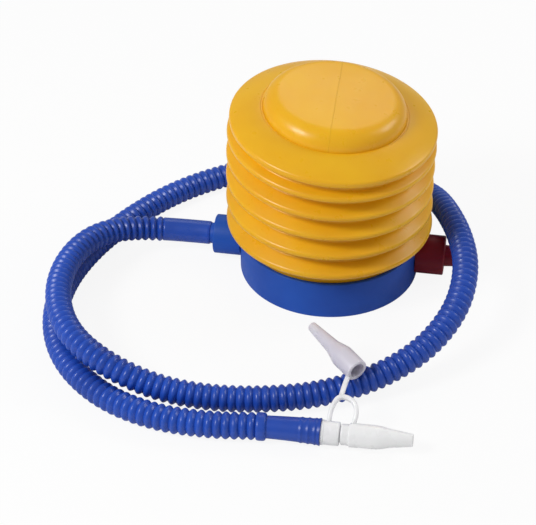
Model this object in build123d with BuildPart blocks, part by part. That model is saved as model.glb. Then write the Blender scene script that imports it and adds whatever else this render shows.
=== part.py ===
"""Bellows air pump: a round plastic base with one valve port on each side, a
yellow five-fold bellows that the hand or foot presses down, and a ribbed hose
that ends in a pair of tethered nozzles.

Frame: +Z up, origin on the floor in the middle of the base, +X through the red
inlet port, -X through the blue outlet port that feeds the hose. Millimetres.
"""

import math
import os

from build123d import *

os.makedirs("parts", exist_ok=True)

# ---------------------------------------------------------------- driving sizes
FIT = 0.15                # gap all round a plugged or seated joint
SMALL_SIDES = 24          # flats round a small piece that is drawn with flats

# base cup
BASE_R = 55.35
BASE_H = 24.7
BASE_WALL = 2.4
BASE_FLOOR = 2.5
BOSS_R = 18.5             # boss that centres the return spring
BOSS_H = 4.0
LEDGE_Z = 22.6            # shelf inside the cup that the bellows neck stands on
LEDGE_W = 2.6

# bellows
SKIN = 1.2                # moulded wall
SIDES = 40                # flats round the bellows, fine enough to read as round
THROAT_R = 49.0           # plain bore through the folds
OVERLAP = 1.0             # how far a fold runs on into its neighbours
CREST_R = 62.9
VALLEY_R = 53.5
CREST_BAND = 2.2          # flat width of a crest
FOLDS = 5
PITCH = 14.3              # crest to crest
CREST_Z = 36.7            # lowest crest
SHOULDER_R = 62.1
SHOULDER_Z = 105.4
SHOULDER_EDGE = 2.4       # height of the shoulder's edge band
DOME_R = 43.4
DOME_Z = 114.8
DOME_H = 10.2
DOME_STEP = 0.6           # fine step round the foot of the dome
DOME_CORNER = 9.0
CORNER_STEPS = 4          # flats in the dome's rounded corner

# the bellows leans: its rings tilt and shift more and more from the neck to
# the shoulder, and from there up they stay as they are
LEAN_LOW = 25.0
LEAN_HIGH = 98.0
LEAN_X = 0.080            # tilt at the top, low side towards +X, radians
LEAN_Y = -0.050           # and low side towards -Y
SAG_X = -3.2              # sideways shift at the top, apart from the tilt
SAG_Y = -0.4

# return spring, hidden inside the bellows
WIRE_D = 2.4
COIL_SIDES = 16           # straight runs in one turn
COILS = 5
SEAT_R = 25.0
SEAT_T = 2.0

# ports
PORT_Z = 14.4
HOUSING_D = 24.5
HOUSING_X = 72.0          # outer face of a housing
SPIGOT_D = 16.0
SPIGOT_X = 50.4           # inner end of a housing's spigot
STUB_D = 12.4
STUB_L = 10.0
STUB_BORE_D = 8.0
CHAMBER_D = 13.4
CHAMBER_X = 61.0          # outer end wall of the valve chamber
DISC_D = 11.0
DISC_T = 1.2
LIFT = 2.5                # travel of a valve disc
DISC_GAP = 0.05           # between a disc and what it rests on
STOP_W = 1.2
INSERT_T = 3.4            # thickness of the insert that closes a chamber

# hose
HOSE_D = 15.5
HOSE_ROOT_D = 12.6        # between two ribs
HOSE_BORE_D = 10.5
CUFF_D = 14.5             # plain end of the hose
CUFF_L = 30.0
CUFF_GRIP = 7.5           # how far the hose is pushed over the stub
CUFF_STEPS = 3            # straight runs that follow a plain end's bend
RIBS = 42                 # ribs between the two plain ends
HOSE_SIDES = 8
RISE = 0.22               # share of one rib taken by each flank
CREST = 0.33              # share of one rib taken by its crest

# nozzle set
COLLAR_D = 13.5
COLLAR_L = 10.8
COLLAR_BORE_D = 6.0
BARB_L = 12.0             # plug of the collar inside the hose
PLUG_L = 14.0             # plug that the nozzle is pushed on to
PLUG_D = 9.0
NOZZLE_L = 39.7
NOZZLE_MOUTH_D = 12.5
NOZZLE_D = 13.7
NOZZLE_STEP = 4.8         # where the barrel gets wider
NOZZLE_BARREL = 16.0
NOZZLE_WAIST = 6.4        # length of the steep taper behind the barrel
NOZZLE_WAIST_D = 10.4     # where the slim taper begins
NOZZLE_TIP_D = 6.8
NOZZLE_TIP_BORE_D = 4.6
SPARE_L = 43.0
SPARE_D = 13.2
SPARE_TIP_D = 5.8
SPARE_TIP_BORE_D = 3.8
SPARE_BARREL = 14.0
SPARE_WAIST = 8.5
SPARE_WAIST_D = 8.9
STRAP_W = 3.5
STRAP_T = 1.3

# hose route, from the outlet stub over the base's front, past the inlet stub,
# round the back and along the left side to the nozzles
ROUTE = [
    (-75, 0, 14.4), (-105, 0, 14.4), (-131.5, -13, 20.5), (-146.5, -34.5, 25),
    (-153, -64, 26), (-149, -96, 26), (-133, -127, 26), (-107, -145, 22),
    (-77.5, -148.5, 12), (-47, -147.5, 8), (-16, -143.5, 8), (14, -134, 8),
    (43, -119.5, 11.5), (68, -101, 20), (84, -74.5, 30), (87.5, -42.5, 36),
    (82, -11.5, 36.5), (71.5, 18, 35), (60, 47.5, 26.5), (38, 73, 16),
    (8, 89, 9), (-25, 94.5, 8), (-57, 88.5, 8), (-84, 72, 8),
    (-111, 47, 8), (-133, 13, 8), (-149, -24, 8), (-156, -62, 8),
    (-151.5, -98.5, 8), (-135.5, -131, 8), (-108, -156, 8), (-75, -168.5, 8),
    (-41.5, -169.5, 8), (-12, -165, 8), (18, -165, 8),
]
SPARE_MOUTH = (33.2, -129.5, 24.3)
SPARE_ANGLE = 134.6       # heading of the spare nozzle in plan, degrees
LOOP_TOP = (28.5, -148.8, 22.0)
STEM_END = (28.6, -130.9, 20.6)


# ---------------------------------------------------------------- derived sizes
bore_r = BASE_R - BASE_WALL
neck_r = bore_r - FIT
low_valley = CREST_Z - PITCH / 2
crown_z = low_valley + FOLDS * PITCH
top_z = DOME_Z + DOME_H


def slope(run, rise):
    """Taper in degrees of a flank that draws in by run over rise."""
    return math.degrees(math.atan2(run, rise))


def leant(z):
    """Plane of the ring of the bellows that is z high when the bellows stands straight."""
    span = LEAN_HIGH - LEAN_LOW
    share = min(max((z - LEAN_LOW) / span, 0), 1)
    x = share * (SAG_X + LEAN_X * span * share / 2)
    y = share * (SAG_Y + LEAN_Y * span * share / 2)
    ring = Plane(
        origin=(x, y, min(z, LEAN_HIGH)), x_dir=(1, 0, -LEAN_X * share),
        z_dir=(LEAN_X * share, LEAN_Y * share, 1),
    )
    return ring.offset(max(z - LEAN_HIGH, 0))


# ---------------------------------------------------------------- base cup
with BuildPart() as base_cup:
    with BuildSketch(Plane.XZ):
        with BuildLine():
            Polyline(
                (0, 0), (BASE_R, 0), (BASE_R, BASE_H), (bore_r, BASE_H),
                (bore_r, LEDGE_Z), (bore_r - LEDGE_W, LEDGE_Z),
                (bore_r - LEDGE_W, BASE_FLOOR), (BOSS_R, BASE_FLOOR),
                (BOSS_R, BASE_FLOOR + BOSS_H), (0, BASE_FLOOR + BOSS_H), close=True,
            )
        make_face()
    revolve(axis=Axis.Z)
    for side in (-1, 1):
        with BuildSketch(Plane.YZ.offset(side * BASE_R)):
            with Locations((0, PORT_Z)):
                Circle(SPIGOT_D / 2)
        extrude(amount=HOUSING_D, both=True, mode=Mode.SUBTRACT)
base_cup.part.label = "base_cup"
export_step(base_cup.part, "parts/base_cup.step")


# ---------------------------------------------------------------- bellows folds
# one fold: a crest band with a flank above and below it
with BuildPart() as fold_form:
    with BuildSketch(Plane.XY):
        RegularPolygon(CREST_R, SIDES)
    extrude(amount=CREST_BAND / 2)
    with BuildSketch(Plane.XY.offset(CREST_BAND / 2)):
        RegularPolygon(CREST_R, SIDES)
    flank = (PITCH - CREST_BAND) / 2
    extrude(amount=flank + OVERLAP, taper=slope(CREST_R - VALLEY_R, flank))
    mirror(about=Plane.XY)

# the neck stands on the shelf in the cup; the folds are stacked on it, each a
# little more tilted than the one below
with BuildPart() as bellows_folds:
    with BuildSketch(Plane.XY.offset(LEDGE_Z)):
        RegularPolygon(neck_r, SIDES)
    extrude(amount=CREST_Z - LEDGE_Z)
    with Locations([leant(CREST_Z + i * PITCH) for i in range(FOLDS)]):
        add(fold_form.part)
    with BuildSketch(leant(crown_z)):
        Rectangle(4 * CREST_R, 4 * CREST_R)
    extrude(amount=PITCH, mode=Mode.SUBTRACT)
    with BuildSketch(Plane.XY.offset(LEDGE_Z)):
        RegularPolygon(THROAT_R, SIDES)
    extrude(amount=crown_z + PITCH - LEDGE_Z, mode=Mode.SUBTRACT)
bellows_folds.part.label = "bellows_folds"
export_step(bellows_folds.part, "parts/bellows_folds.step")


# ---------------------------------------------------------------- bellows crown
# last half fold, sloping shoulder, a fine step and the flat-topped dome
edge_z = SHOULDER_Z - SHOULDER_EDGE / 2
dome_rise = DOME_H - DOME_CORNER
with BuildPart() as crown_form:
    with BuildSketch(Plane.XY.offset(edge_z)):
        RegularPolygon(SHOULDER_R, SIDES)
    extrude(amount=edge_z - crown_z, taper=slope(SHOULDER_R - VALLEY_R, edge_z - crown_z))
    mirror(about=Plane.XY.offset(edge_z), mode=Mode.REPLACE)
    with BuildSketch(Plane.XY.offset(edge_z)):
        RegularPolygon(SHOULDER_R, SIDES)
    extrude(amount=SHOULDER_EDGE)
    with BuildSketch(Plane.XY.offset(edge_z + SHOULDER_EDGE)):
        RegularPolygon(SHOULDER_R, SIDES)
    rise = DOME_Z - edge_z - SHOULDER_EDGE
    extrude(amount=rise, taper=slope(SHOULDER_R - DOME_R - DOME_STEP, rise))
    with BuildSketch(Plane.XY.offset(DOME_Z)):
        RegularPolygon(DOME_R, SIDES)
    extrude(amount=dome_rise)
    for i in range(CORNER_STEPS):
        a = math.pi / 2 * i / CORNER_STEPS
        b = math.pi / 2 * (i + 1) / CORNER_STEPS
        rise = DOME_CORNER * (math.sin(b) - math.sin(a))
        run = DOME_CORNER * (math.cos(a) - math.cos(b))
        with BuildSketch(Plane.XY.offset(DOME_Z + dome_rise + DOME_CORNER * math.sin(a))):
            RegularPolygon(DOME_R - DOME_CORNER * (1 - math.cos(a)), SIDES)
        extrude(amount=rise, taper=slope(run, rise))
    with BuildSketch(Plane.XY.offset(crown_z)):
        RegularPolygon(THROAT_R, SIDES)
    extrude(amount=edge_z + SHOULDER_EDGE - crown_z, mode=Mode.SUBTRACT)
    with BuildSketch(Plane.XY.offset(crown_z)):
        RegularPolygon(DOME_R - 3 * SKIN, SIDES)
    extrude(amount=top_z - SKIN - DOME_CORNER / 2 - crown_z, mode=Mode.SUBTRACT)
    with BuildSketch(Plane.XY.offset(crown_z)):
        RegularPolygon(SEAT_R + FIT, SIDES)
    extrude(amount=top_z - SKIN - crown_z, mode=Mode.SUBTRACT)

crown_place = leant(crown_z).offset(-crown_z)
with BuildPart() as bellows_crown:
    with Locations(crown_place):
        add(crown_form.part)
bellows_crown.part.label = "bellows_crown"
export_step(bellows_crown.part, "parts/bellows_crown.step")


# ---------------------------------------------------------------- spring and its upper seat
# the seat lies under the top of the dome; its hub centres the spring
seat_top = top_z - SKIN - FIT
with BuildPart() as seat_form:
    with BuildSketch(Plane.XY.offset(seat_top)):
        RegularPolygon(SEAT_R, SIDES)
    extrude(amount=-SEAT_T)
    with BuildSketch(Plane.XY.offset(seat_top - SEAT_T)):
        RegularPolygon(BOSS_R, SIDES)
    extrude(amount=-BOSS_H)

with BuildPart() as spring_seat:
    with Locations(crown_place):
        add(seat_form.part)
spring_seat.part.label = "spring_seat"
export_step(spring_seat.part, "parts/spring_seat.step")

spring_low = BASE_FLOOR + WIRE_D / 2 + FIT
spring_high = seat_top - SEAT_T - WIRE_D / 2 - FIT
coil_pitch = (spring_high - spring_low) / COILS
coil_r = (BOSS_R + FIT + WIRE_D / 2) / math.cos(math.pi / COIL_SIDES)
with BuildPart() as return_spring:
    with BuildLine() as coil:
        corners = []
        for k in range(COILS * COIL_SIDES + 1):
            turn = k / COIL_SIDES
            ring = leant(spring_low + coil_pitch * turn)
            angle = math.tau * turn
            corners.append(ring.from_local_coords((coil_r * math.cos(angle), coil_r * math.sin(angle), 0)))
        Polyline(*corners)
    with BuildSketch(Plane(origin=coil.line @ 0, z_dir=coil.line % 0)):
        RegularPolygon(WIRE_D / 2, 4)
    sweep(transition=Transition.RIGHT)
return_spring.part.label = "return_spring"
export_step(return_spring.part, "parts/return_spring.step")


# ---------------------------------------------------------------- port housings
# Both are the same moulding: saddle against the cup, spigot through its wall,
# valve chamber, and the stub that a hose is pushed on. The pieces of the outlet
# are drawn on +X as well, then mirrored to -X.
port = Plane(origin=(0, 0, PORT_Z), x_dir=(0, 1, 0), z_dir=(1, 0, 0))
back = Plane(origin=(0, 0, PORT_Z), x_dir=(0, 1, 0), z_dir=(-1, 0, 0))
insert_x = SPIGOT_X + INSERT_T
rib_r = (STUB_BORE_D + CHAMBER_D) / 4
rib_l = (CHAMBER_D - STUB_BORE_D) / 2 - FIT

with BuildPart() as port_form:
    with BuildSketch(port.offset(bore_r)):
        Circle(HOUSING_D / 2)
    extrude(amount=HOUSING_X - bore_r)
    with BuildSketch(Plane.XY):
        Circle(BASE_R)
    extrude(amount=PORT_Z + HOUSING_D, mode=Mode.SUBTRACT)
    with BuildSketch(port.offset(SPIGOT_X)):
        Circle(SPIGOT_D / 2)
    extrude(amount=CHAMBER_X - SPIGOT_X)
    with BuildSketch(port.offset(HOUSING_X)):
        Circle(STUB_D / 2)
    extrude(amount=STUB_L)
    with BuildSketch(port.offset(SPIGOT_X)):
        Circle(CHAMBER_D / 2)
    extrude(amount=CHAMBER_X - SPIGOT_X, mode=Mode.SUBTRACT)
    with BuildSketch(port.offset(CHAMBER_X)):
        Circle(STUB_BORE_D / 2)
    extrude(amount=HOUSING_X + STUB_L - CHAMBER_X, mode=Mode.SUBTRACT)

# The outlet's chamber ends in four ribs that stop the open disc.
with BuildPart() as outlet_housing:
    add(port_form.part)
    with BuildSketch(back.offset(-CHAMBER_X)):
        with PolarLocations(rib_r, 4, start_angle=45):
            Rectangle(rib_l, STOP_W)
    extrude(amount=CHAMBER_X - insert_x - 2 * DISC_GAP - DISC_T - LIFT)
    mirror(about=Plane.YZ, mode=Mode.REPLACE)
outlet_housing.part.label = "outlet_housing"
export_step(outlet_housing.part, "parts/outlet_housing.step")

# Its insert, pressed in from inside the cup, carries the seat.
with BuildPart() as outlet_seat:
    with BuildSketch(port.offset(SPIGOT_X)):
        RegularPolygon(CHAMBER_D / 2, SMALL_SIDES)
        RegularPolygon(STUB_BORE_D / 2, SMALL_SIDES, mode=Mode.SUBTRACT)
    extrude(amount=INSERT_T)
    mirror(about=Plane.YZ, mode=Mode.REPLACE)
outlet_seat.part.label = "outlet_seat"
export_step(outlet_seat.part, "parts/outlet_seat.step")

with BuildPart() as outlet_disc:
    with BuildSketch(port.offset(insert_x + DISC_GAP)):
        RegularPolygon(DISC_D / 2, SMALL_SIDES)
    extrude(amount=DISC_T)
    mirror(about=Plane.YZ, mode=Mode.REPLACE)
outlet_disc.part.label = "outlet_disc"
export_step(outlet_disc.part, "parts/outlet_disc.step")

# The inlet is the other way round: seat in the housing, stop on the insert.
with BuildPart() as inlet_housing:
    add(port_form.part)
inlet_housing.part.label = "inlet_housing"
export_step(inlet_housing.part, "parts/inlet_housing.step")

with BuildPart() as inlet_stop:
    with BuildSketch(port.offset(SPIGOT_X)):
        RegularPolygon(CHAMBER_D / 2, SMALL_SIDES)
        RegularPolygon(STUB_BORE_D / 2, SMALL_SIDES, mode=Mode.SUBTRACT)
    extrude(amount=INSERT_T)
    with BuildSketch(port.offset(insert_x)):
        with PolarLocations(rib_r, 4, start_angle=45):
            Rectangle(rib_l, STOP_W)
    extrude(amount=CHAMBER_X - DISC_GAP - DISC_T - LIFT - DISC_GAP - insert_x)
inlet_stop.part.label = "inlet_stop"
export_step(inlet_stop.part, "parts/inlet_stop.step")

with BuildPart() as inlet_disc:
    with BuildSketch(port.offset(CHAMBER_X - DISC_GAP - DISC_T)):
        RegularPolygon(DISC_D / 2, SMALL_SIDES)
    extrude(amount=DISC_T)
inlet_disc.part.label = "inlet_disc"
export_step(inlet_disc.part, "parts/inlet_disc.step")


# ---------------------------------------------------------------- hose
radii = []
for a, b, c in zip(ROUTE, ROUTE[1:], ROUTE[2:]):
    into = Vector(*b) - Vector(*a)
    out = Vector(*c) - Vector(*b)
    turn = math.radians(into.get_angle(out))
    radii.append(0.45 * min(into.length, out.length) / math.tan(turn / 2))
print("hose bend radii", [round(r) for r in radii])
path = FilletPolyline(*ROUTE, radius=radii)
print("hose length", round(path.length, 1))


def hose_plane(s):
    """Section plane at s millimetres along the hose."""
    u = min(max(s / path.length, 0.0), 1.0)
    return Plane(origin=path.position_at(u), x_dir=(0, 0, 1), z_dir=path.tangent_at(u))


rib_pitch = (path.length - 2 * CUFF_L) / RIBS
outline = [(i * CUFF_L / CUFF_STEPS, CUFF_D) for i in range(CUFF_STEPS + 1)]
for i in range(RIBS):
    start = CUFF_L + i * rib_pitch
    outline.append((start + FIT, HOSE_ROOT_D))
    outline.append((start + RISE * rib_pitch, HOSE_D))
    outline.append((start + (RISE + CREST) * rib_pitch, HOSE_D))
    outline.append((start + (2 * RISE + CREST) * rib_pitch, HOSE_ROOT_D))
outline.append((path.length - CUFF_L - FIT, HOSE_ROOT_D))
outline += [(path.length - (CUFF_STEPS - i) * CUFF_L / CUFF_STEPS, CUFF_D) for i in range(CUFF_STEPS + 1)]
bore = [i * CUFF_L / CUFF_STEPS for i in range(CUFF_STEPS)]
bore += [CUFF_L + i * rib_pitch for i in range(RIBS)]
bore += [path.length - (CUFF_STEPS - i) * CUFF_L / CUFF_STEPS for i in range(CUFF_STEPS + 1)]
with BuildPart() as hose:
    for s, diameter in outline:
        with BuildSketch(hose_plane(s)):
            RegularPolygon(diameter / 2, HOSE_SIDES)
    loft(ruled=True)
    for s in bore:
        with BuildSketch(hose_plane(s)):
            RegularPolygon(HOSE_BORE_D / 2, HOSE_SIDES)
    loft(ruled=True, mode=Mode.SUBTRACT)
    with BuildSketch(hose_plane(0)):
        Circle(STUB_D / 2 + FIT)
    extrude(amount=CUFF_GRIP, mode=Mode.SUBTRACT)
    with BuildSketch(hose_plane(path.length)):
        Circle(HOSE_BORE_D / 2)
    extrude(amount=-BARB_L - FIT, mode=Mode.SUBTRACT)
hose.part.label = "hose"
export_step(hose.part, "parts/hose.step")
mean_d = HOSE_ROOT_D + (HOSE_D - HOSE_ROOT_D) * (RISE + CREST)
ring = HOSE_SIDES / 8 * math.sin(math.tau / HOSE_SIDES) * (mean_d**2 - HOSE_BORE_D**2)
cuff = HOSE_SIDES / 8 * math.sin(math.tau / HOSE_SIDES) * (CUFF_D**2 - HOSE_BORE_D**2)
tube = ring * (path.length - 2 * CUFF_L) + cuff * 2 * CUFF_L
print("hose volume", round(hose.part.volume), "section times length", round(tube))


# ---------------------------------------------------------------- hose collar
hose_end = Vector(*ROUTE[-1])
collar_x = hose_end.X + FIT
nozzle_x = collar_x + COLLAR_L + FIT
along = Plane(origin=(0, hose_end.Y, hose_end.Z), x_dir=(0, 1, 0), z_dir=(1, 0, 0))

with BuildPart() as hose_collar:
    with BuildSketch(along.offset(collar_x - BARB_L)):
        RegularPolygon(HOSE_BORE_D / 2 - FIT, SMALL_SIDES)
    extrude(amount=BARB_L)
    with BuildSketch(along.offset(collar_x)):
        Circle(COLLAR_D / 2)
    extrude(amount=COLLAR_L)
    with BuildSketch(along.offset(collar_x + COLLAR_L)):
        Circle(PLUG_D / 2)
    extrude(amount=PLUG_L)
    with BuildSketch(along.offset(collar_x - BARB_L)):
        RegularPolygon(COLLAR_BORE_D / 2, SMALL_SIDES)
    extrude(amount=BARB_L + COLLAR_L + PLUG_L, mode=Mode.SUBTRACT)
hose_collar.part.label = "hose_collar"
export_step(hose_collar.part, "parts/hose_collar.step")


# ---------------------------------------------------------------- nozzles
# Both stand on the plane of their mouth: a round barrel that fits the plug, a
# long taper, and an air bore through the tip.
neck = NOZZLE_STEP + NOZZLE_BARREL
with BuildPart() as fitted_form:
    with BuildSketch(Plane.XY):
        Circle(NOZZLE_MOUTH_D / 2)
    extrude(amount=NOZZLE_STEP)
    with BuildSketch(Plane.XY.offset(NOZZLE_STEP)):
        RegularPolygon(NOZZLE_D / 2, SMALL_SIDES)
    extrude(amount=NOZZLE_BARREL)
    with BuildSketch(Plane.XY.offset(neck)):
        RegularPolygon(NOZZLE_D / 2, SMALL_SIDES)
    extrude(amount=NOZZLE_WAIST, taper=slope((NOZZLE_D - NOZZLE_WAIST_D) / 2, NOZZLE_WAIST))
    with BuildSketch(Plane.XY.offset(neck + NOZZLE_WAIST)):
        RegularPolygon(NOZZLE_WAIST_D / 2, SMALL_SIDES)
    slim = NOZZLE_L - neck - NOZZLE_WAIST
    extrude(amount=slim, taper=slope((NOZZLE_WAIST_D - NOZZLE_TIP_D) / 2, slim))
    with BuildSketch(Plane.XY):
        Circle(PLUG_D / 2 + FIT)
    extrude(amount=PLUG_L + FIT, mode=Mode.SUBTRACT)
    with BuildSketch(Plane.XY):
        RegularPolygon(NOZZLE_TIP_BORE_D / 2, SMALL_SIDES)
    extrude(amount=NOZZLE_L, mode=Mode.SUBTRACT)

with BuildPart() as nozzle_fitted:
    with Locations(along.offset(nozzle_x)):
        add(fitted_form.part)
nozzle_fitted.part.label = "nozzle_fitted"
export_step(nozzle_fitted.part, "parts/nozzle_fitted.step")

with BuildPart() as spare_form:
    with BuildSketch(Plane.XY):
        RegularPolygon(SPARE_D / 2, SMALL_SIDES)
    extrude(amount=SPARE_BARREL)
    with BuildSketch(Plane.XY.offset(SPARE_BARREL)):
        RegularPolygon(SPARE_D / 2, SMALL_SIDES)
    extrude(amount=SPARE_WAIST, taper=slope((SPARE_D - SPARE_WAIST_D) / 2, SPARE_WAIST))
    with BuildSketch(Plane.XY.offset(SPARE_BARREL + SPARE_WAIST)):
        RegularPolygon(SPARE_WAIST_D / 2, SMALL_SIDES)
    slim = SPARE_L - SPARE_BARREL - SPARE_WAIST
    extrude(amount=slim, taper=slope((SPARE_WAIST_D - SPARE_TIP_D) / 2, slim))
    with BuildSketch(Plane.XY):
        Circle(PLUG_D / 2 + FIT)
    extrude(amount=PLUG_L + FIT, mode=Mode.SUBTRACT)
    with BuildSketch(Plane.XY):
        RegularPolygon(SPARE_TIP_BORE_D / 2, SMALL_SIDES)
    extrude(amount=SPARE_L, mode=Mode.SUBTRACT)

heading = math.radians(SPARE_ANGLE)
spare = Plane(
    origin=SPARE_MOUTH, x_dir=(0, 0, 1), z_dir=(math.cos(heading), math.sin(heading), 0)
)
with BuildPart() as nozzle_spare:
    with Locations(spare):
        add(spare_form.part)
nozzle_spare.part.label = "nozzle_spare"
export_step(nozzle_spare.part, "parts/nozzle_spare.step")


# ---------------------------------------------------------------- tether
# a strap arches from the collar to the fitted nozzle; a stem runs from the top
# of the arch to the spare nozzle
loop_top = Vector(*LOOP_TOP)
foot_a = Vector(collar_x + COLLAR_L / 2, hose_end.Y, hose_end.Z + COLLAR_D / 2)
foot_b = Vector(nozzle_x + NOZZLE_STEP + STRAP_W, hose_end.Y, hose_end.Z + NOZZLE_D / 2)
middle = (foot_a + foot_b) * 0.5
lean = Vector(0, loop_top.Y - middle.Y, loop_top.Z - middle.Z)
loop_plane = Plane(origin=middle, x_dir=(1, 0, 0), z_dir=Vector(1, 0, 0).cross(lean))
half_w = (foot_b.X - foot_a.X) / 2
arch_h = lean.length - half_w
with BuildPart() as tether_loop:
    with BuildSketch(loop_plane) as arch:
        with Locations((0, arch_h)):
            Circle(half_w + STRAP_T / 2)
        with Locations((0, arch_h / 2 - STRAP_W / 2)):
            Rectangle(2 * half_w + STRAP_T, arch_h + STRAP_W)
        with Locations((0, arch_h)):
            Circle(half_w - STRAP_T / 2, mode=Mode.SUBTRACT)
        with Locations((0, arch_h / 2 - STRAP_W / 2)):
            Rectangle(2 * half_w - STRAP_T, arch_h + STRAP_W, mode=Mode.SUBTRACT)
    extrude(amount=STRAP_W / 2, both=True)
    with BuildSketch(along.offset(collar_x)):
        Circle(NOZZLE_D / 2)
    extrude(amount=COLLAR_L + NOZZLE_L, mode=Mode.SUBTRACT)
    solids_up = solids().sort_by(Axis.Z)
    add(solids_up[-1], mode=Mode.REPLACE)
tether_loop.part.label = "tether_loop"
export_step(tether_loop.part, "parts/tether_loop.step")

stem_foot = middle + lean.normalized() * (lean.length + STRAP_T / 2 + 5 * FIT)
stem_end = Vector(*STEM_END)
stem_dir = stem_end - stem_foot
with BuildPart() as tether_stem:
    with BuildSketch(Plane(origin=stem_foot, x_dir=(1, 0, 0), z_dir=stem_dir)):
        Rectangle(STRAP_W, STRAP_T)
    extrude(amount=stem_dir.length + STRAP_T)
    with BuildSketch(spare):
        Circle(SPARE_D / 2)
    extrude(amount=SPARE_BARREL, mode=Mode.SUBTRACT)
tether_stem.part.label = "tether_stem"
export_step(tether_stem.part, "parts/tether_stem.step")
print("stem hinge", [round(v, 2) for v in stem_foot], "seat", round(seat_top, 2))
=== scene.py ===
"""Looks of a bellows air pump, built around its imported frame. Metres, +Z up, origin on the floor in the
middle of the base, -X through the outlet port that feeds the hose. Sizes are named in millimetres."""

import math

import bmesh
import bpy
import numpy as np
from mathutils import Matrix, Vector


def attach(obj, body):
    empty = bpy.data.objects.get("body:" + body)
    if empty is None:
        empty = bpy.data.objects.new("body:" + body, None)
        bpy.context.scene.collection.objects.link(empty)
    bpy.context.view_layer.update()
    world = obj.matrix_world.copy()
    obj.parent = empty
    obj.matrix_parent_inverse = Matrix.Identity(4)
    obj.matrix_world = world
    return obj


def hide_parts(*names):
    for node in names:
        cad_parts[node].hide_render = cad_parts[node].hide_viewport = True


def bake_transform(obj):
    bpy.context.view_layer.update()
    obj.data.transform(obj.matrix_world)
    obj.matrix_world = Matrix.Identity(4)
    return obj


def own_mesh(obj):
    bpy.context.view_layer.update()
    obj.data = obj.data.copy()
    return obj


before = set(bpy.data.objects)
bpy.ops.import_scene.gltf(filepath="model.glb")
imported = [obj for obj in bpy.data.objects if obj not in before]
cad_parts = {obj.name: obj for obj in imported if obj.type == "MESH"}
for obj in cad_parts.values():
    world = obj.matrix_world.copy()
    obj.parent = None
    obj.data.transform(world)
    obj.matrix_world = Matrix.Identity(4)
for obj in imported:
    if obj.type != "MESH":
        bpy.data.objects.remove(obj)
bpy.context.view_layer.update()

MM = 0.001

# ---------------------------------------------------------------- camera, in metres
CAMERA_AT = (0.1027, -0.8514, 0.6410)
CAMERA_VIEW = (-0.1312, 0.7899, -0.5990)
LENS = 114.2
PHOTO_TURN = math.radians(6.88)  # the photograph's right, seen from above, against +X

camera = bpy.data.objects.new("camera", bpy.data.cameras.new("camera"))
camera.location = CAMERA_AT
camera.rotation_euler = Vector(CAMERA_VIEW).to_track_quat("-Z", "Y").to_euler()
camera.data.lens = LENS
camera.data.clip_start = 0.05
bpy.context.scene.collection.objects.link(camera)
bpy.context.scene.camera = camera

# ---------------------------------------------------------------- sizes, in millimetres
CLEAR = 0.15  # play between pieces that stand on each other or slide on each other

# base cup
BASE_R, BASE_H, BASE_WALL = 55.35, 24.7, 2.4
FLOOR_TOP = 2.5
BOSS_R, BOSS_TOP = 18.5, 6.5  # the boss on the cup's floor; the seat's hub is as wide
LEDGE_Z, LEDGE_W = 22.6, 2.6  # the shelf inside the rim, which carries the bellows
BASE_AROUND = 192

# bellows
SKIN = 1.2
NECK_R, NECK_ROUND = 52.8, 1.2
CREST_HEIGHTS = (36.5, 51.8, 66.8, 81.8, 96.0)
CREST_R, CREST_DRAW = 63.2, 0.17  # the lowest crest, and how much smaller each next one is
CREST_BAND, CREST_ROUND = 3.0, 2.2  # the upright band of a crest, and its round edges
VALLEY_BAND, VALLEY_ROUND_LOW, VALLEY_ROUND_HIGH = 2.4, 1.6, 1.2
FOLD_DEPTH, FOLD_GAP = 8.2, 14.3  # a valley this deep between crests this far apart
SHOULDER_R, SHOULDER_Z = 61.7, 106.4
SHOULDER_BAND, SHOULDER_ROUND_LOW, SHOULDER_ROUND_HIGH = 3.3, 1.5, 2.0
SLOPE_R, SLOPE_Z, SLOPE_ROUND = 53.6, 112.3, 60.0  # where the shoulder's slope bulges
DOME_R, DOME_FOOT, DOME_TOP = 42.6, 114.8, 126.7
DOME_CORNER, DOME_SLOPE = 10.8, 0.077  # the slope of the crowned top where its corner begins
BELLOWS_AROUND = 224
SEAM_HEADING = 92.0  # degrees from +X
SEAM_W, SEAM_H = 0.7, 0.16

LEAN_LOW, LEAN_HIGH = 25.0, 98.0  # heights between which the folds lean over
LEAN_RIGHT, LEAN_FRONT = 0.078, 0.066  # radians, in the photograph's directions
LEAN_SHIFT = -2.86  # how far the folds also slide, along the photograph's right

# spring and its upper seat
CROWN_DROP = 0.8  # room for the dome's top, which falls 0.74 from its middle to the seat's rim
SEAT_R, SEAT_T, SEAT_HUB = 25.0, 2.0, 6.0  # the disc, its thickness, and its depth with the hub
SEAT_AROUND = 72
WIRE_R, COILS, COIL_PLAY = 1.2, 5, 0.4
COIL_STEPS, WIRE_AROUND = 48, 12  # rings in a turn, and points round the wire

# ports
PORT_Z = 14.4
HOUSING_R, HOUSING_X = 12.25, 72.0
SADDLE_SINK = 0.6  # how deep a housing sits in the cup's wall
SPIGOT_R, SPIGOT_X = 8.0, 50.4
CHAMBER_R, CHAMBER_X = 6.7, 61.0
STUB_ROOT_R, STUB_TIP_R, STUB_BORE_R, STUB_L = 6.5, 5.8, 4.0, 10.0
STUB_FLARE = 0.2
PORT_AROUND = 72

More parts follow.
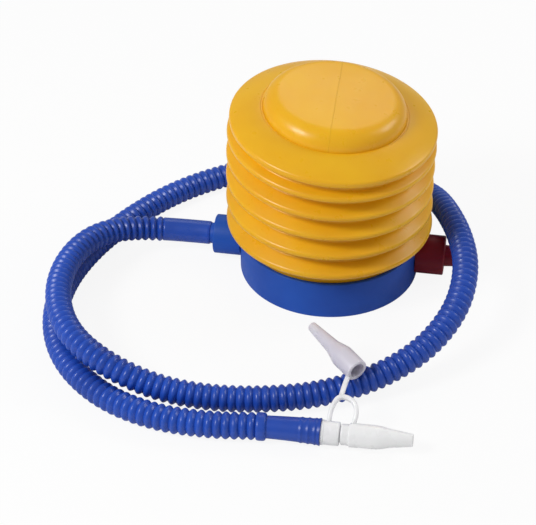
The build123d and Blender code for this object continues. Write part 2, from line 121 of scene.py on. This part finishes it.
# hose
HOSE_R, HOSE_ROOT_R, HOSE_BORE_R = 7.75, 6.1, 5.25
RIB_PITCH = 4.7
LAST_RIB, LAST_RIB_RISE = 6.0, 0.15  # the wide rib at the far cuff, and its height over the others
CUFF_L, CUFF_R = 30.0, 7.25
CUFF_TAPER = 0.9  # how much thinner the far cuff is at the ribs than at its mouth
EDGE_L, EDGE_DROP = 0.8, 0.35  # the rounded edge of the near cuff
RIDGES = (2.8, 6.6, 10.6)  # ridges of the far cuff, from the end of the hose
RIDGE_W, RIDGE_H = 0.75, 0.38
LIP_L, LIP_H = 1.6, 0.5  # the lip at the far cuff's mouth
STUB_GRIP = 8.0  # how far in the hose's bore is widened for the stub
RINGS_PER_RIB, HOSE_AROUND = 8, 28

# The hose's route: from the outlet stub over the base's front, past the inlet stub, round the back
# and along the left side to the nozzles.
ROUTE = [
    (-75, 0, 14.4), (-105, 0, 14.4), (-131.5, -13, 20.5), (-146.5, -34.5, 25),
    (-153, -64, 26), (-149, -96, 26), (-133, -127, 26), (-107, -145, 22),
    (-77.5, -148.5, 12), (-47, -147.5, 8), (-16, -143.5, 8), (14, -134, 8),
    (43, -119.5, 11.5), (68, -101, 20), (84, -74.5, 30), (87.5, -42.5, 36),
    (82, -11.5, 36.5), (71.5, 18, 35), (60, 47.5, 26.5), (38, 73, 16),
    (8, 89, 9), (-25, 94.5, 8), (-57, 88.5, 8), (-84, 72, 8),
    (-111, 47, 8), (-133, 13, 8), (-149, -24, 8), (-156, -62, 8),
    (-151.5, -98.5, 8), (-135.5, -131, 8), (-108, -156, 8), (-75, -168.5, 8),
    (-41.5, -169.5, 8), (-12, -165, 8), (18, -165, 8),
]

# collar, in line with the end of the hose
HOSE_Y, HOSE_Z = -165.0, 8.0
COLLAR_X, COLLAR_L, COLLAR_R, COLLAR_BORE_R = 18.15, 10.8, 6.75, 3.0
COLLAR_RIM_R, COLLAR_WAIST_R = COLLAR_R + 0.2, COLLAR_R - 0.1
INSERT_R, INSERT_L = 5.1, 12.0  # the end of the collar that is inside the hose
PLUG_R, PLUG_L = 4.5, 14.0  # the end of the collar that is inside the nozzle
SOCKET_R, SOCKET_L = PLUG_R + CLEAR, PLUG_L + CLEAR  # the hole of each nozzle for the plug
BORE_START = 15.4  # where a nozzle's own bore begins, from its mouth

# nozzles
NOZZLE_X, NOZZLE_WAY = 29.1, (1, -0.01, 0.045)  # where the fitted nozzle begins, and its way
FITTED_NECK_R, FITTED_R, FITTED_TIP_R, FITTED_L = 5.85, 6.65, 3.5, 39.7
SPARE_MOUTH = (33.2, -129.5, 24.3)
SPARE_ANGLE, SPARE_RISE = 134.6, 0.09  # degrees from +X, and the rise to each unit of length
SPARE_R, SPARE_TIP_R, SPARE_BORE_R, SPARE_L = 6.6, 2.7, 1.9, 43.0

# strap: an arch from the collar to the fitted nozzle, and a stem from its top to the spare nozzle
ARCH = [
    (22.0, -161.8, 12.6), (22.0, -160.0, 15.0), (22.6, -154.8, 18.4), (25.4, -149.2, 21.2),
    (30.8, -149.2, 21.2), (35.6, -152.2, 19.8), (36.7, -158.0, 16.6), (35.7, -160.4, 14.4),
    (35.7, -161.8, 12.2),
]
ARCH_ACROSS, ARCH_W, ARCH_T = (0, -0.41, 0.91), 3.7, 2.5
STEM_LOW, STEM_HIGH = (27.0, -149.2, 22.2), (28.6, -129.8, 20.8)
STEM_W, STEM_T, STEM_BOW = 2.9, 1.8, 0.8
STEM_POINTS = 12

# ---------------------------------------------------------------- materials
PATCH_SCALE, GLOSS_SCALE = 22, 154  # soft patches of colour and of gloss, to the metre
GLOSS_LOSS, GLOSS_GAIN = 0.07, 0.05  # how far the roughness strays up and down
SCATTER_DEPTH = 2.5  # how deep light passes into the plastics, in millimetres


def srgb(r, g, b):
    """A colour seen as 0 to 255, as the linear values that a shader takes."""
    return tuple(((c / 255 + 0.055) / 1.055) ** 2.4 for c in (r, g, b)) + (1.0,)


def plastic(name, light, dark, rough, grain=700, depth=0.02, scatter=0.0, radius=(1, 1, 1), gloss=0.5):
    """Moulded plastic: its colour drifts from light to dark in soft patches, its gloss varies, and its
    skin has a fine grain depth millimetres deep."""
    mat = bpy.data.materials.new(name + "_finish")
    mat.use_nodes = True
    nodes, links = mat.node_tree.nodes, mat.node_tree.links
    shader = nodes["Principled BSDF"]
    place = nodes.new("ShaderNodeTexCoord").outputs["Object"]

    def noise(scale, detail=3.0):
        node = nodes.new("ShaderNodeTexNoise")
        node.inputs["Scale"].default_value = scale
        node.inputs["Detail"].default_value = detail
        links.new(place, node.inputs["Vector"])
        return node.outputs["Fac"]

    # a colour mix has its two colours in sockets 6 and 7 and its result in socket 2
    tint = nodes.new("ShaderNodeMix")
    tint.data_type = "RGBA"
    tint.inputs[6].default_value = light
    tint.inputs[7].default_value = dark
    spread = nodes.new("ShaderNodeMapRange")
    spread.inputs["From Min"].default_value = 0.35
    spread.inputs["From Max"].default_value = 0.65
    links.new(noise(PATCH_SCALE), spread.inputs["Value"])
    links.new(spread.outputs["Result"], tint.inputs[0])
    links.new(tint.outputs[2], shader.inputs["Base Color"])

    blur = nodes.new("ShaderNodeMapRange")
    blur.inputs["From Min"].default_value = 0.3
    blur.inputs["From Max"].default_value = 0.7
    blur.inputs["To Min"].default_value = rough - GLOSS_GAIN
    blur.inputs["To Max"].default_value = rough + GLOSS_LOSS
    links.new(noise(GLOSS_SCALE, 5.0), blur.inputs["Value"])
    links.new(blur.outputs["Result"], shader.inputs["Roughness"])

    bump = nodes.new("ShaderNodeBump")
    bump.inputs["Strength"].default_value = 0.6
    bump.inputs["Distance"].default_value = depth * MM
    links.new(noise(grain, 4.0), bump.inputs["Height"])
    links.new(bump.outputs["Normal"], shader.inputs["Normal"])

    shader.inputs["Subsurface Weight"].default_value = scatter
    shader.inputs["Subsurface Radius"].default_value = radius
    shader.inputs["Subsurface Scale"].default_value = SCATTER_DEPTH * MM
    shader.inputs["Specular IOR Level"].default_value = gloss
    return mat


base_blue = plastic("base_blue", srgb(34, 86, 184), srgb(28, 74, 168), 0.45, grain=850, gloss=0.22)
hose_blue = plastic("hose_blue", srgb(36, 82, 188), srgb(30, 70, 168), 0.31, grain=500, gloss=0.45)
bellows_yellow = plastic(
    "bellows_yellow", srgb(244, 184, 26), srgb(238, 173, 22), 0.31, grain=620, depth=0.012,
    scatter=0.12, radius=(1.0, 0.5, 0.1), gloss=0.4,
)
inlet_red = plastic("inlet_red", srgb(136, 8, 34), srgb(110, 7, 28), 0.42, gloss=0.2)
nozzle_white = plastic(
    "nozzle_white", srgb(249, 249, 251), srgb(244, 244, 247), 0.28, grain=900, depth=0.015,
    scatter=0.6, radius=(1.0, 0.95, 1.0),
)
spare_white = plastic(
    "spare_white", srgb(226, 223, 231), srgb(215, 212, 222), 0.36, grain=900, depth=0.015,
    scatter=0.9, radius=(1.0, 0.92, 1.0),
)
insert_white = plastic("insert_white", srgb(225, 225, 220), srgb(210, 210, 206), 0.45)
valve_rubber = plastic("valve_rubber", srgb(52, 50, 50), srgb(36, 34, 34), 0.62, depth=0.05)
spring_steel = plastic(
    "spring_steel", srgb(176, 178, 180), srgb(140, 142, 146), 0.28, grain=1500, depth=0.01,
)
spring_steel.node_tree.nodes["Principled BSDF"].inputs["Metallic"].default_value = 1.0


# ---------------------------------------------------------------- forms
def rounded(corners, steps=5):
    """The outline through corners (a, b, radius), each corner turned into an arc of its radius."""
    points = []
    for i, (a, b, radius) in enumerate(corners):
        here = Vector((a, b))
        if radius == 0 or i in (0, len(corners) - 1):
            points.append((a, b))
            continue
        before = (Vector(corners[i - 1][:2]) - here).normalized()
        after = (Vector(corners[i + 1][:2]) - here).normalized()
        half = before.angle(after) / 2
        centre = here + (before + after).normalized() * (radius / math.sin(half))
        reach = radius / math.tan(half)
        start, end = here + before * reach - centre, here + after * reach - centre
        for k in range(steps + 1):
            points.append(tuple(centre + start.slerp(end, k / steps).normalized() * radius))
    return points


def mesh_piece(name, points, faces, mat, sharp=35):
    """An object from points in metres, smooth except where its faces meet at more than sharp degrees."""
    mesh = bpy.data.meshes.new(name)
    mesh.from_pydata([tuple(p) for p in points], [], faces)
    form = bmesh.new()
    form.from_mesh(mesh)
    bmesh.ops.recalc_face_normals(form, faces=form.faces)
    form.to_mesh(mesh)
    form.free()
    mesh.shade_smooth()
    mesh.set_sharp_from_angle(angle=math.radians(sharp))
    mesh.materials.append(mat)
    piece = bpy.data.objects.new(name, mesh)
    bpy.context.scene.collection.objects.link(piece)
    return piece


def ring_faces(rows, around, closed):
    """Faces that join rows of around points each; closed joins the last row to the first."""
    faces = []
    for i in range(rows if closed else rows - 1):
        j = (i + 1) % rows
        for k in range(around):
            n = (k + 1) % around
            faces.append((i * around + k, i * around + n, j * around + n, j * around + k))
    return faces


def tube_faces(rows, around):
    """Faces of a tube of rows rings, with a flat end on each."""
    ends = [tuple(range(around)), tuple(range((rows - 1) * around, rows * around))]
    return ring_faces(rows, around, closed=False) + ends


def turned(outline, around=96):
    """Points and faces of an outline (radius, height) in millimetres turned about Z. An end on the axis
    becomes one point; an outline with no end there is closed on itself."""
    poles = [i for i in (0, len(outline) - 1) if outline[i][0] == 0]
    body = [p for i, p in enumerate(outline) if i not in poles]
    angles = np.arange(around) * math.tau / around
    points = [(r * math.cos(a), r * math.sin(a), z) for r, z in body for a in angles]
    faces = ring_faces(len(body), around, closed=not poles)
    for pole in poles:
        points.append((0, 0, outline[pole][1]))
        row = 0 if pole == 0 else (len(body) - 1) * around
        faces += [(row + k, row + (k + 1) % around, len(points) - 1) for k in range(around)]
    return np.array(points, float), faces


def along(origin, direction):
    """The matrix that stands a turned form, in millimetres, on origin with its axis along direction."""
    turn = Vector(direction).to_track_quat("Z", "Y").to_matrix().to_4x4()
    return Matrix.Translation(Vector(origin) * MM) @ turn @ Matrix.Scale(MM, 4)


def placed(points, matrix):
    """Points moved by a matrix."""
    m = np.array(matrix)
    return points @ m[:3, :3].T + m[:3, 3]


def turned_piece(name, corners, origin, direction, mat):
    """A piece turned from corners (radius, distance from origin, rounding), its axis along direction."""
    points, faces = turned(rounded(corners))
    return mesh_piece(name, placed(points, along(origin, direction)), faces, mat)


def lean(points):
    """Points of the bellows, in millimetres, leant over as the folds carry them."""
    right = np.array([math.cos(PHOTO_TURN), math.sin(PHOTO_TURN), 0])
    front = np.array([math.sin(PHOTO_TURN), -math.cos(PHOTO_TURN), 0])
    height = points[:, 2]
    span = LEAN_HIGH - LEAN_LOW
    share = np.clip((height - LEAN_LOW) / span, 0, 1)
    above = np.maximum(height - LEAN_HIGH, 0)
    moved = points + np.outer(LEAN_SHIFT * share, right)
    for way, angle in ((right, LEAN_RIGHT), (front, LEAN_FRONT)):
        moved += np.outer(angle * (span * share**2 / 2 + above), way)
        moved[:, 2] -= points @ way * np.sin(angle * share)
    return moved


# ---------------------------------------------------------------- base cup
bore_r = BASE_R - BASE_WALL
base_outline = rounded([
    (0, 0, 0), (BASE_R, 0, 0.7), (BASE_R, BASE_H, 0.7), (bore_r, BASE_H, 0.4), (bore_r, LEDGE_Z, 0.2),
    (bore_r - LEDGE_W, LEDGE_Z, 0.3), (bore_r - LEDGE_W, FLOOR_TOP, 1.0), (BOSS_R, FLOOR_TOP, 0.6),
    (BOSS_R, BOSS_TOP, 0.6), (0, BOSS_TOP, 0),
])
points, faces = turned(base_outline, BASE_AROUND)
cup = mesh_piece("cup", points * MM, faces, base_blue)
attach(cup, "base")
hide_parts("base_cup")


# ---------------------------------------------------------------- bellows
def bellows_corners():
    """Outer outline of the bellows from its neck up to the foot of the dome."""
    corners = [(NECK_R, LEDGE_Z, 0), (NECK_R, CREST_HEIGHTS[0] - FOLD_GAP / 2, NECK_ROUND)]
    for i, crest in enumerate(CREST_HEIGHTS):
        radius = CREST_R - i * CREST_DRAW
        gap = (*CREST_HEIGHTS, SHOULDER_Z)[i + 1] - crest
        valley = radius - FOLD_DEPTH * min(1, gap / FOLD_GAP)
        corners += [
            (radius, crest - CREST_BAND / 2, CREST_ROUND),
            (radius, crest + CREST_BAND / 2, CREST_ROUND),
            (valley, crest + gap / 2 - VALLEY_BAND / 2, VALLEY_ROUND_LOW),
            (valley, crest + gap / 2 + VALLEY_BAND / 2, VALLEY_ROUND_HIGH),
        ]
    corners += [
        (SHOULDER_R, SHOULDER_Z - SHOULDER_BAND / 2, SHOULDER_ROUND_LOW),
        (SHOULDER_R, SHOULDER_Z + SHOULDER_BAND / 2, SHOULDER_ROUND_HIGH),
        (SLOPE_R, SLOPE_Z, SLOPE_ROUND),
        # a narrow groove round the foot of the dome
        (DOME_R + 1.4, DOME_FOOT + 0.1, 0.4),
        (DOME_R + 0.4, DOME_FOOT - 0.9, 0.3),
        (DOME_R, DOME_FOOT - 0.3, 0),
    ]
    return corners


def dome(radius, high, corner, steps=16):
    """The outline of the dome from its foot to the axis: a round corner, then a faintly crowned top."""
    turn = math.pi / 2 - DOME_SLOPE
    middle = radius - corner
    rim = middle + corner * math.cos(turn)
    crown = rim * math.tan(DOME_SLOPE) / 2
    low = high - crown - corner * math.sin(turn)
    angles = [turn * k / steps for k in range(steps + 1)]
    points = [(middle + corner * math.cos(a), low + corner * math.sin(a)) for a in angles]
    shares = [1 - k / steps for k in range(1, steps + 1)]
    return points + [(rim * share, high - crown * share**2) for share in shares]


def seam(outline, width, height):
    """The thin bead that the two halves of the mould leave across the dome, from back to front."""
    heading = math.radians(SEAM_HEADING)
    way = np.array([math.cos(heading), math.sin(heading), 0])
    side = np.array([-math.sin(heading), math.cos(heading), 0])
    line = [np.array([0, 0, z]) + r * way for r, z in outline]
    line += [np.array([0, 0, z]) - r * way for r, z in reversed(outline[:-1])]
    points, faces = [], []
    for i, here in enumerate(line):
        step = line[min(i + 1, len(line) - 1)] - line[max(i - 1, 0)]
        out = np.cross(step, side)
        out /= np.linalg.norm(out)
        if out[2] < 0:
            out = -out
        for across, up in ((-0.5, -0.6), (-0.22, 0.8), (0.22, 0.8), (0.5, -0.6)):
            points.append(here + side * width * across + out * height * up)
        if i:
            for k in range(4):
                n = (k + 1) % 4
                faces.append((4 * i - 4 + k, 4 * i - 4 + n, 4 * i + n, 4 * i + k))
    faces += [(3, 2, 1, 0), tuple(range(len(points) - 4, len(points)))]
    return np.array(points), faces


outer = rounded(bellows_corners()) + dome(DOME_R, DOME_TOP, DOME_CORNER)
inner = [(r - SKIN, z) for r, z in rounded(bellows_corners())]
inner += dome(DOME_R - SKIN, DOME_TOP - SKIN, DOME_CORNER - SKIN)
skin, skin_faces = turned([*reversed(outer), *inner], BELLOWS_AROUND)
bead, bead_faces = seam(dome(DOME_R, DOME_TOP, DOME_CORNER), SEAM_W, SEAM_H)
points = np.concatenate([skin, bead])
faces = skin_faces + [tuple(i + len(skin) for i in f) for f in bead_faces]
bellows = mesh_piece("bellows", lean(points) * MM, faces, bellows_yellow)
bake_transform(bellows)
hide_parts("bellows_folds", "bellows_crown")

# ---------------------------------------------------------------- spring and its seat
# the seat under the dome and the spring between it and the cup's floor lean with the bellows
seat_top = DOME_TOP - CROWN_DROP - SKIN - CLEAR
seat_low, hub_low = seat_top - SEAT_T, seat_top - SEAT_HUB
seat_corners = [
    (0, seat_top, 0), (SEAT_R, seat_top, 0.5), (SEAT_R, seat_low, 0.5), (BOSS_R, seat_low, 0.4),
    (BOSS_R, hub_low, 0.6), (0, hub_low, 0),
]
points, faces = turned(rounded(seat_corners), SEAT_AROUND)
seat = mesh_piece("seat", lean(points) * MM, faces, insert_white)
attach(seat, "crown")
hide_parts("spring_seat")


def coil_piece():
    """The return spring: a round wire that winds up round the boss, from the cup's floor to the seat."""
    low, high = FLOOR_TOP + WIRE_R + CLEAR, seat_low - WIRE_R - CLEAR
    radius = BOSS_R + WIRE_R + COIL_PLAY
    steps = COILS * COIL_STEPS
    points = []
    for k in range(steps + 1):
        share = k / steps
        angle = math.tau * COILS * share
        height = low + (high - low) * share
        out = np.array([math.cos(angle), math.sin(angle), 0])
        for m in range(WIRE_AROUND):
            a = math.tau * m / WIRE_AROUND
            points.append(out * (radius + WIRE_R * math.cos(a)) + [0, 0, height + WIRE_R * math.sin(a)])
    faces = tube_faces(steps + 1, WIRE_AROUND)
    return mesh_piece("coil", lean(np.array(points)) * MM, faces, spring_steel)


coil = coil_piece()
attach(coil, "base")
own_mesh(coil)
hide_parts("return_spring")


# ---------------------------------------------------------------- ports
def housing(name, side, mat):
    """A port moulding on the side (1 or -1) of the base: saddle, spigot through the wall, valve chamber
    and stub. The saddle follows the base's round wall."""
    wall = BASE_R - SADDLE_SINK
    stub_end = HOUSING_X + STUB_L
    corners = [
        (CHAMBER_R, SPIGOT_X, 0), (SPIGOT_R, SPIGOT_X, 0), (SPIGOT_R, wall, 0), (HOUSING_R, wall, 0),
        (HOUSING_R, HOUSING_X, 0.9), (STUB_ROOT_R + STUB_FLARE, HOUSING_X, 0.5),
        (STUB_TIP_R, stub_end, 0.7), (STUB_BORE_R, stub_end, 0.4), (STUB_BORE_R, CHAMBER_X, 0),
        (CHAMBER_R, CHAMBER_X, 0),
    ]
    points, faces = turned(rounded(corners), PORT_AROUND)
    for row in (2, 3):  # the two rows at the wall
        ring = points[row * PORT_AROUND:(row + 1) * PORT_AROUND]
        ring[:, 2] = np.sqrt(wall**2 - ring[:, 1] ** 2)
    stand = along((0, 0, PORT_Z), (side, 0, 0))
    return mesh_piece(name, placed(points, stand), faces, mat)


for name, node, side, mat, slot in (
    ("outlet_port", "outlet_housing", -1, base_blue, "base_blue"),
    ("inlet_port", "inlet_housing", 1, inlet_red, "inlet_red"),
):
    port = housing(name, side, mat)
    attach(port, "base")
    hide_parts(node)

for node, mat in (
    ("outlet_seat", insert_white), ("inlet_stop", insert_white),
    ("outlet_disc", valve_rubber), ("inlet_disc", valve_rubber),
):
    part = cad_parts[node]
    part.data.materials.clear()
    part.data.materials.append(mat)


# ---------------------------------------------------------------- hose
def route_line(route):
    """Points along the smooth line that a NURBS spline makes of the route, in metres."""
    curve = bpy.data.curves.new("route", "CURVE")
    curve.dimensions = "3D"
    curve.resolution_u = 40
    spline = curve.splines.new("NURBS")
    spline.points.add(len(route) - 1)
    for point, place in zip(spline.points, route):
        point.co = (*(Vector(place) * MM), 1)
    spline.order_u = 3
    spline.use_endpoint_u = True
    line = bpy.data.objects.new("route", curve)
    bpy.context.scene.collection.objects.link(line)
    bpy.context.view_layer.update()
    mesh = bpy.data.meshes.new_from_object(line)
    points = np.array([v.co for v in mesh.vertices])
    bpy.data.objects.remove(line)
    bpy.data.meshes.remove(mesh)
    return points


def at_lengths(line, lengths):
    """Points on a line at these distances from its start."""
    step = np.linalg.norm(np.diff(line, axis=0), axis=1)
    run = np.concatenate([[0], np.cumsum(step)])
    return np.stack([np.interp(lengths, run, line[:, i]) for i in range(3)], axis=1)


def hose_radius(s, length):
    """Outer radius, in millimetres, at s along the hose: a smooth cuff, ribs, a wide last rib, and a
    tapered cuff with three ridges and a lip where the collar goes in."""
    if s <= CUFF_L:
        return CUFF_R - EDGE_DROP * max(0, 1 - s / EDGE_L) ** 2
    back = length - s
    if back <= CUFF_L:
        radius = CUFF_R - CUFF_TAPER * back / CUFF_L
        radius += sum(RIDGE_H * math.exp(-((back - ridge) / RIDGE_W) ** 2) for ridge in RIDGES)
        return radius + LIP_H * max(0, 1 - back / LIP_L) ** 0.5
    if back <= CUFF_L + LAST_RIB:
        across = 2 * (back - CUFF_L) / LAST_RIB - 1
        return HOSE_ROOT_R + (HOSE_R + LAST_RIB_RISE - HOSE_ROOT_R) * (1 - across**4) ** 0.5
    ribbed = length - 2 * CUFF_L - LAST_RIB
    phase = (s - CUFF_L) / ribbed * round(ribbed / RIB_PITCH) % 1
    return HOSE_ROOT_R + (HOSE_R - HOSE_ROOT_R) * (0.5 - 0.5 * math.cos(math.tau * phase)) ** 0.55


def hose_rings(length):
    """The hose's rings (distance along it, radius): its outside from the stub to the collar, then its
    bore back to the stub. They lie close where the outside turns quickly."""
    far_cuff = length - CUFF_L
    last_rib = far_cuff - LAST_RIB
    ribs = round((last_rib - CUFF_L) / RIB_PITCH)
    near_part = np.linspace(0, CUFF_L, 37)
    ribbed_part = np.linspace(CUFF_L, last_rib, ribs * RINGS_PER_RIB + 1)[1:-1]
    rib_part = np.linspace(last_rib, far_cuff, 25)
    far_part = np.linspace(far_cuff + 0.05, length, 91)
    places = np.concatenate([near_part, ribbed_part, rib_part, far_part])
    outside = [(s, hose_radius(s, length)) for s in places]
    bore = [(s, HOSE_BORE_R) for s in np.linspace(length, STUB_GRIP, 180)]
    return outside + bore + [(STUB_GRIP, STUB_ROOT_R), (0, STUB_ROOT_R)]


def hose_piece():
    """The ribbed hose as a mesh tube, and the line that it follows, in metres."""
    line = route_line(ROUTE)
    rings = hose_rings(np.linalg.norm(np.diff(line, axis=0), axis=1).sum() / MM)
    places = np.array([s for s, _ in rings]) * MM
    centre = at_lengths(line, places)
    reach = 0.3 * MM
    tangent = at_lengths(line, places + reach) - at_lengths(line, places - reach)
    tangent /= np.linalg.norm(tangent, axis=1)[:, None]
    side = np.cross(tangent, [0, 0, 1])
    side /= np.linalg.norm(side, axis=1)[:, None]
    up = np.cross(side, tangent)
    radius = np.array([r for _, r in rings])[:, None, None] * MM
    angles = np.arange(HOSE_AROUND) * math.tau / HOSE_AROUND
    spokes = np.cos(angles)[None, :, None] * side[:, None] + np.sin(angles)[None, :, None] * up[:, None]
    points = (centre[:, None] + radius * spokes).reshape(-1, 3)
    faces = ring_faces(len(rings), HOSE_AROUND, closed=True)
    return mesh_piece("ribbed_hose", points, faces, hose_blue, sharp=60), line


hose, hose_line = hose_piece()
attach(hose, "base")
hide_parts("hose")

# ---------------------------------------------------------------- collar and nozzles
collar_corners = [
    (COLLAR_BORE_R, -INSERT_L, 0), (INSERT_R - 0.5, -INSERT_L, 0.3), (INSERT_R, 1.5 - INSERT_L, 0.3),
    (INSERT_R, 0, 0), (COLLAR_RIM_R, 0, 0.4), (COLLAR_RIM_R, 1.5, 0.4), (COLLAR_WAIST_R, 1.8, 0.2),
    (COLLAR_WAIST_R, COLLAR_L - 0.5, 0.7), (PLUG_R, COLLAR_L - 0.5, 0.2),
    (PLUG_R, COLLAR_L + PLUG_L, 0.5), (COLLAR_BORE_R, COLLAR_L + PLUG_L, 0),
]
collar = turned_piece("collar", collar_corners, (COLLAR_X, HOSE_Y, HOSE_Z), (1, 0, 0), nozzle_white)
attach(collar, "base")
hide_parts("hose_collar")

fitted_corners = [
    (SOCKET_R, 0.2, 0), (FITTED_NECK_R, 0.2, 0.8), (FITTED_NECK_R, 4.6, 0.5), (FITTED_R, 4.9, 0.5),
    (FITTED_R, 20.4, 24.0), (5.2, 27.0, 36.0), (FITTED_TIP_R, FITTED_L, 0.5),
    (FITTED_TIP_R - 0.8, FITTED_L, 0.3), (FITTED_TIP_R - 1.0, BORE_START, 0), (SOCKET_R, SOCKET_L, 0),
]
fitted = turned_piece("fitted", fitted_corners, (NOZZLE_X, HOSE_Y, HOSE_Z), NOZZLE_WAY, nozzle_white)
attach(fitted, "fitted_nozzle")
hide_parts("nozzle_fitted")

spare_heading = math.radians(SPARE_ANGLE)
spare_way = (math.cos(spare_heading), math.sin(spare_heading), SPARE_RISE)
spare_corners = [
    (SOCKET_R, 0, 0), (SPARE_R - 0.1, 0, 0.4), (SPARE_R, 14.0, 5.0), (4.4, 22.5, 9.0),
    (SPARE_TIP_R, SPARE_L, 0.5), (SPARE_BORE_R, SPARE_L, 0.3), (SPARE_BORE_R, BORE_START, 0),
    (SOCKET_R, SOCKET_L, 0),
]
spare = turned_piece("spare", spare_corners, SPARE_MOUTH, spare_way, spare_white)
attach(spare, "spare_nozzle")
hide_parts("nozzle_spare")


# ---------------------------------------------------------------- strap
def strap(name, path, across, width, thick, mat):
    """A flat moulded strap along path, in millimetres: width is along across, and its edges are round."""
    wide, high, edge = width / 2, thick / 2, thick * 0.4
    section = rounded([
        (-wide, 0, 0), (-wide, high, edge), (wide, high, edge), (wide, -high, edge), (-wide, -high, edge),
        (-wide, 0, 0),
    ], 3)[:-1]
    across = Vector(across).normalized()
    points = []
    for i, here in enumerate(path):
        step = Vector(path[min(i + 1, len(path) - 1)]) - Vector(path[max(i - 1, 0)])
        out = step.cross(across).normalized()
        points += [Vector(here) + across * a + out * b for a, b in section]
    points = np.array([tuple(p) for p in points])
    return mesh_piece(name, points * MM, tube_faces(len(path), len(section)), mat, sharp=50)


arch = [tuple(p) for p in route_line(ARCH) / MM]
loop = strap("loop", arch, ARCH_ACROSS, ARCH_W, ARCH_T, nozzle_white)
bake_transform(loop)
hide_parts("tether_loop")

stem_path = []
for t in np.linspace(0, 1, STEM_POINTS):
    bow = Vector((0, 0, STEM_BOW * math.sin(math.pi * t)))
    stem_path.append(Vector(STEM_LOW).lerp(Vector(STEM_HIGH), t) + bow)
stem = strap("stem", stem_path, (1, 0, 0), STEM_W, STEM_T, nozzle_white)
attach(stem, "spare_nozzle")
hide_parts("tether_stem")

# ---------------------------------------------------------------- stage and light, in metres and watts
FLOOR_HALF = 8
FLOOR_GREY = (0.86, 0.86, 0.86, 1)
FLOOR_GLOW = 0.9  # how much of what the camera sees of the floor is plain white
WORLD_LIGHT = 0.37


def stage_floor():
    """A wide pale floor. What the camera sees of it is mostly plain white with a faint shadow."""
    mesh = bpy.data.meshes.new("floor")
    corners = [(x * FLOOR_HALF, y * FLOOR_HALF, 0) for x, y in ((-1, -1), (1, -1), (1, 1), (-1, 1))]
    mesh.from_pydata(corners, [], [(0, 1, 2, 3)])
    mat = bpy.data.materials.new("floor")
    mat.use_nodes = True
    nodes, links = mat.node_tree.nodes, mat.node_tree.links
    nodes.clear()
    matte = nodes.new("ShaderNodeBsdfDiffuse")
    matte.inputs["Color"].default_value = FLOOR_GREY
    glow = nodes.new("ShaderNodeEmission")
    glow.inputs["Strength"].default_value = 1.0
    path = nodes.new("ShaderNodeLightPath")
    share = nodes.new("ShaderNodeMath")
    share.operation = "MULTIPLY"
    share.inputs[1].default_value = FLOOR_GLOW
    links.new(path.outputs["Is Camera Ray"], share.inputs[0])
    mix = nodes.new("ShaderNodeMixShader")
    links.new(share.outputs[0], mix.inputs[0])
    links.new(matte.outputs[0], mix.inputs[1])
    links.new(glow.outputs[0], mix.inputs[2])
    links.new(mix.outputs[0], nodes.new("ShaderNodeOutputMaterial").inputs["Surface"])
    mesh.materials.append(mat)
    floor = bpy.data.objects.new("floor", mesh)
    bpy.context.scene.collection.objects.link(floor)


def lamp(name, place, target, size, power):
    """A rectangular lamp at place that faces target."""
    light = bpy.data.lights.new(name, "AREA")
    light.shape = "RECTANGLE"
    light.size, light.size_y = size
    light.energy = power
    lamp_object = bpy.data.objects.new(name, light)
    lamp_object.location = place
    lamp_object.rotation_euler = (Vector(target) - Vector(place)).to_track_quat("-Z", "Y").to_euler()
    bpy.context.scene.collection.objects.link(lamp_object)


stage_floor()
lamp("key", (-0.78, -0.66, 0.9), (0, 0, 0.05), (0.36, 0.36), 9.6)
lamp("side", (1.0, 0.36, 0.76), (0, 0, 0.06), (0.5, 0.4), 3.9)
lamp("back", (0.05, 0.9, 0.95), (0, 0, 0.05), (0.9, 0.6), 2.4)

world = bpy.data.worlds.new("world")
bpy.context.scene.world = world
world.use_nodes = True
world.node_tree.nodes["Background"].inputs["Color"].default_value = (1, 1, 1, 1)
world.node_tree.nodes["Background"].inputs["Strength"].default_value = WORLD_LIGHT
bpy.context.scene.view_settings.view_transform = "Standard"
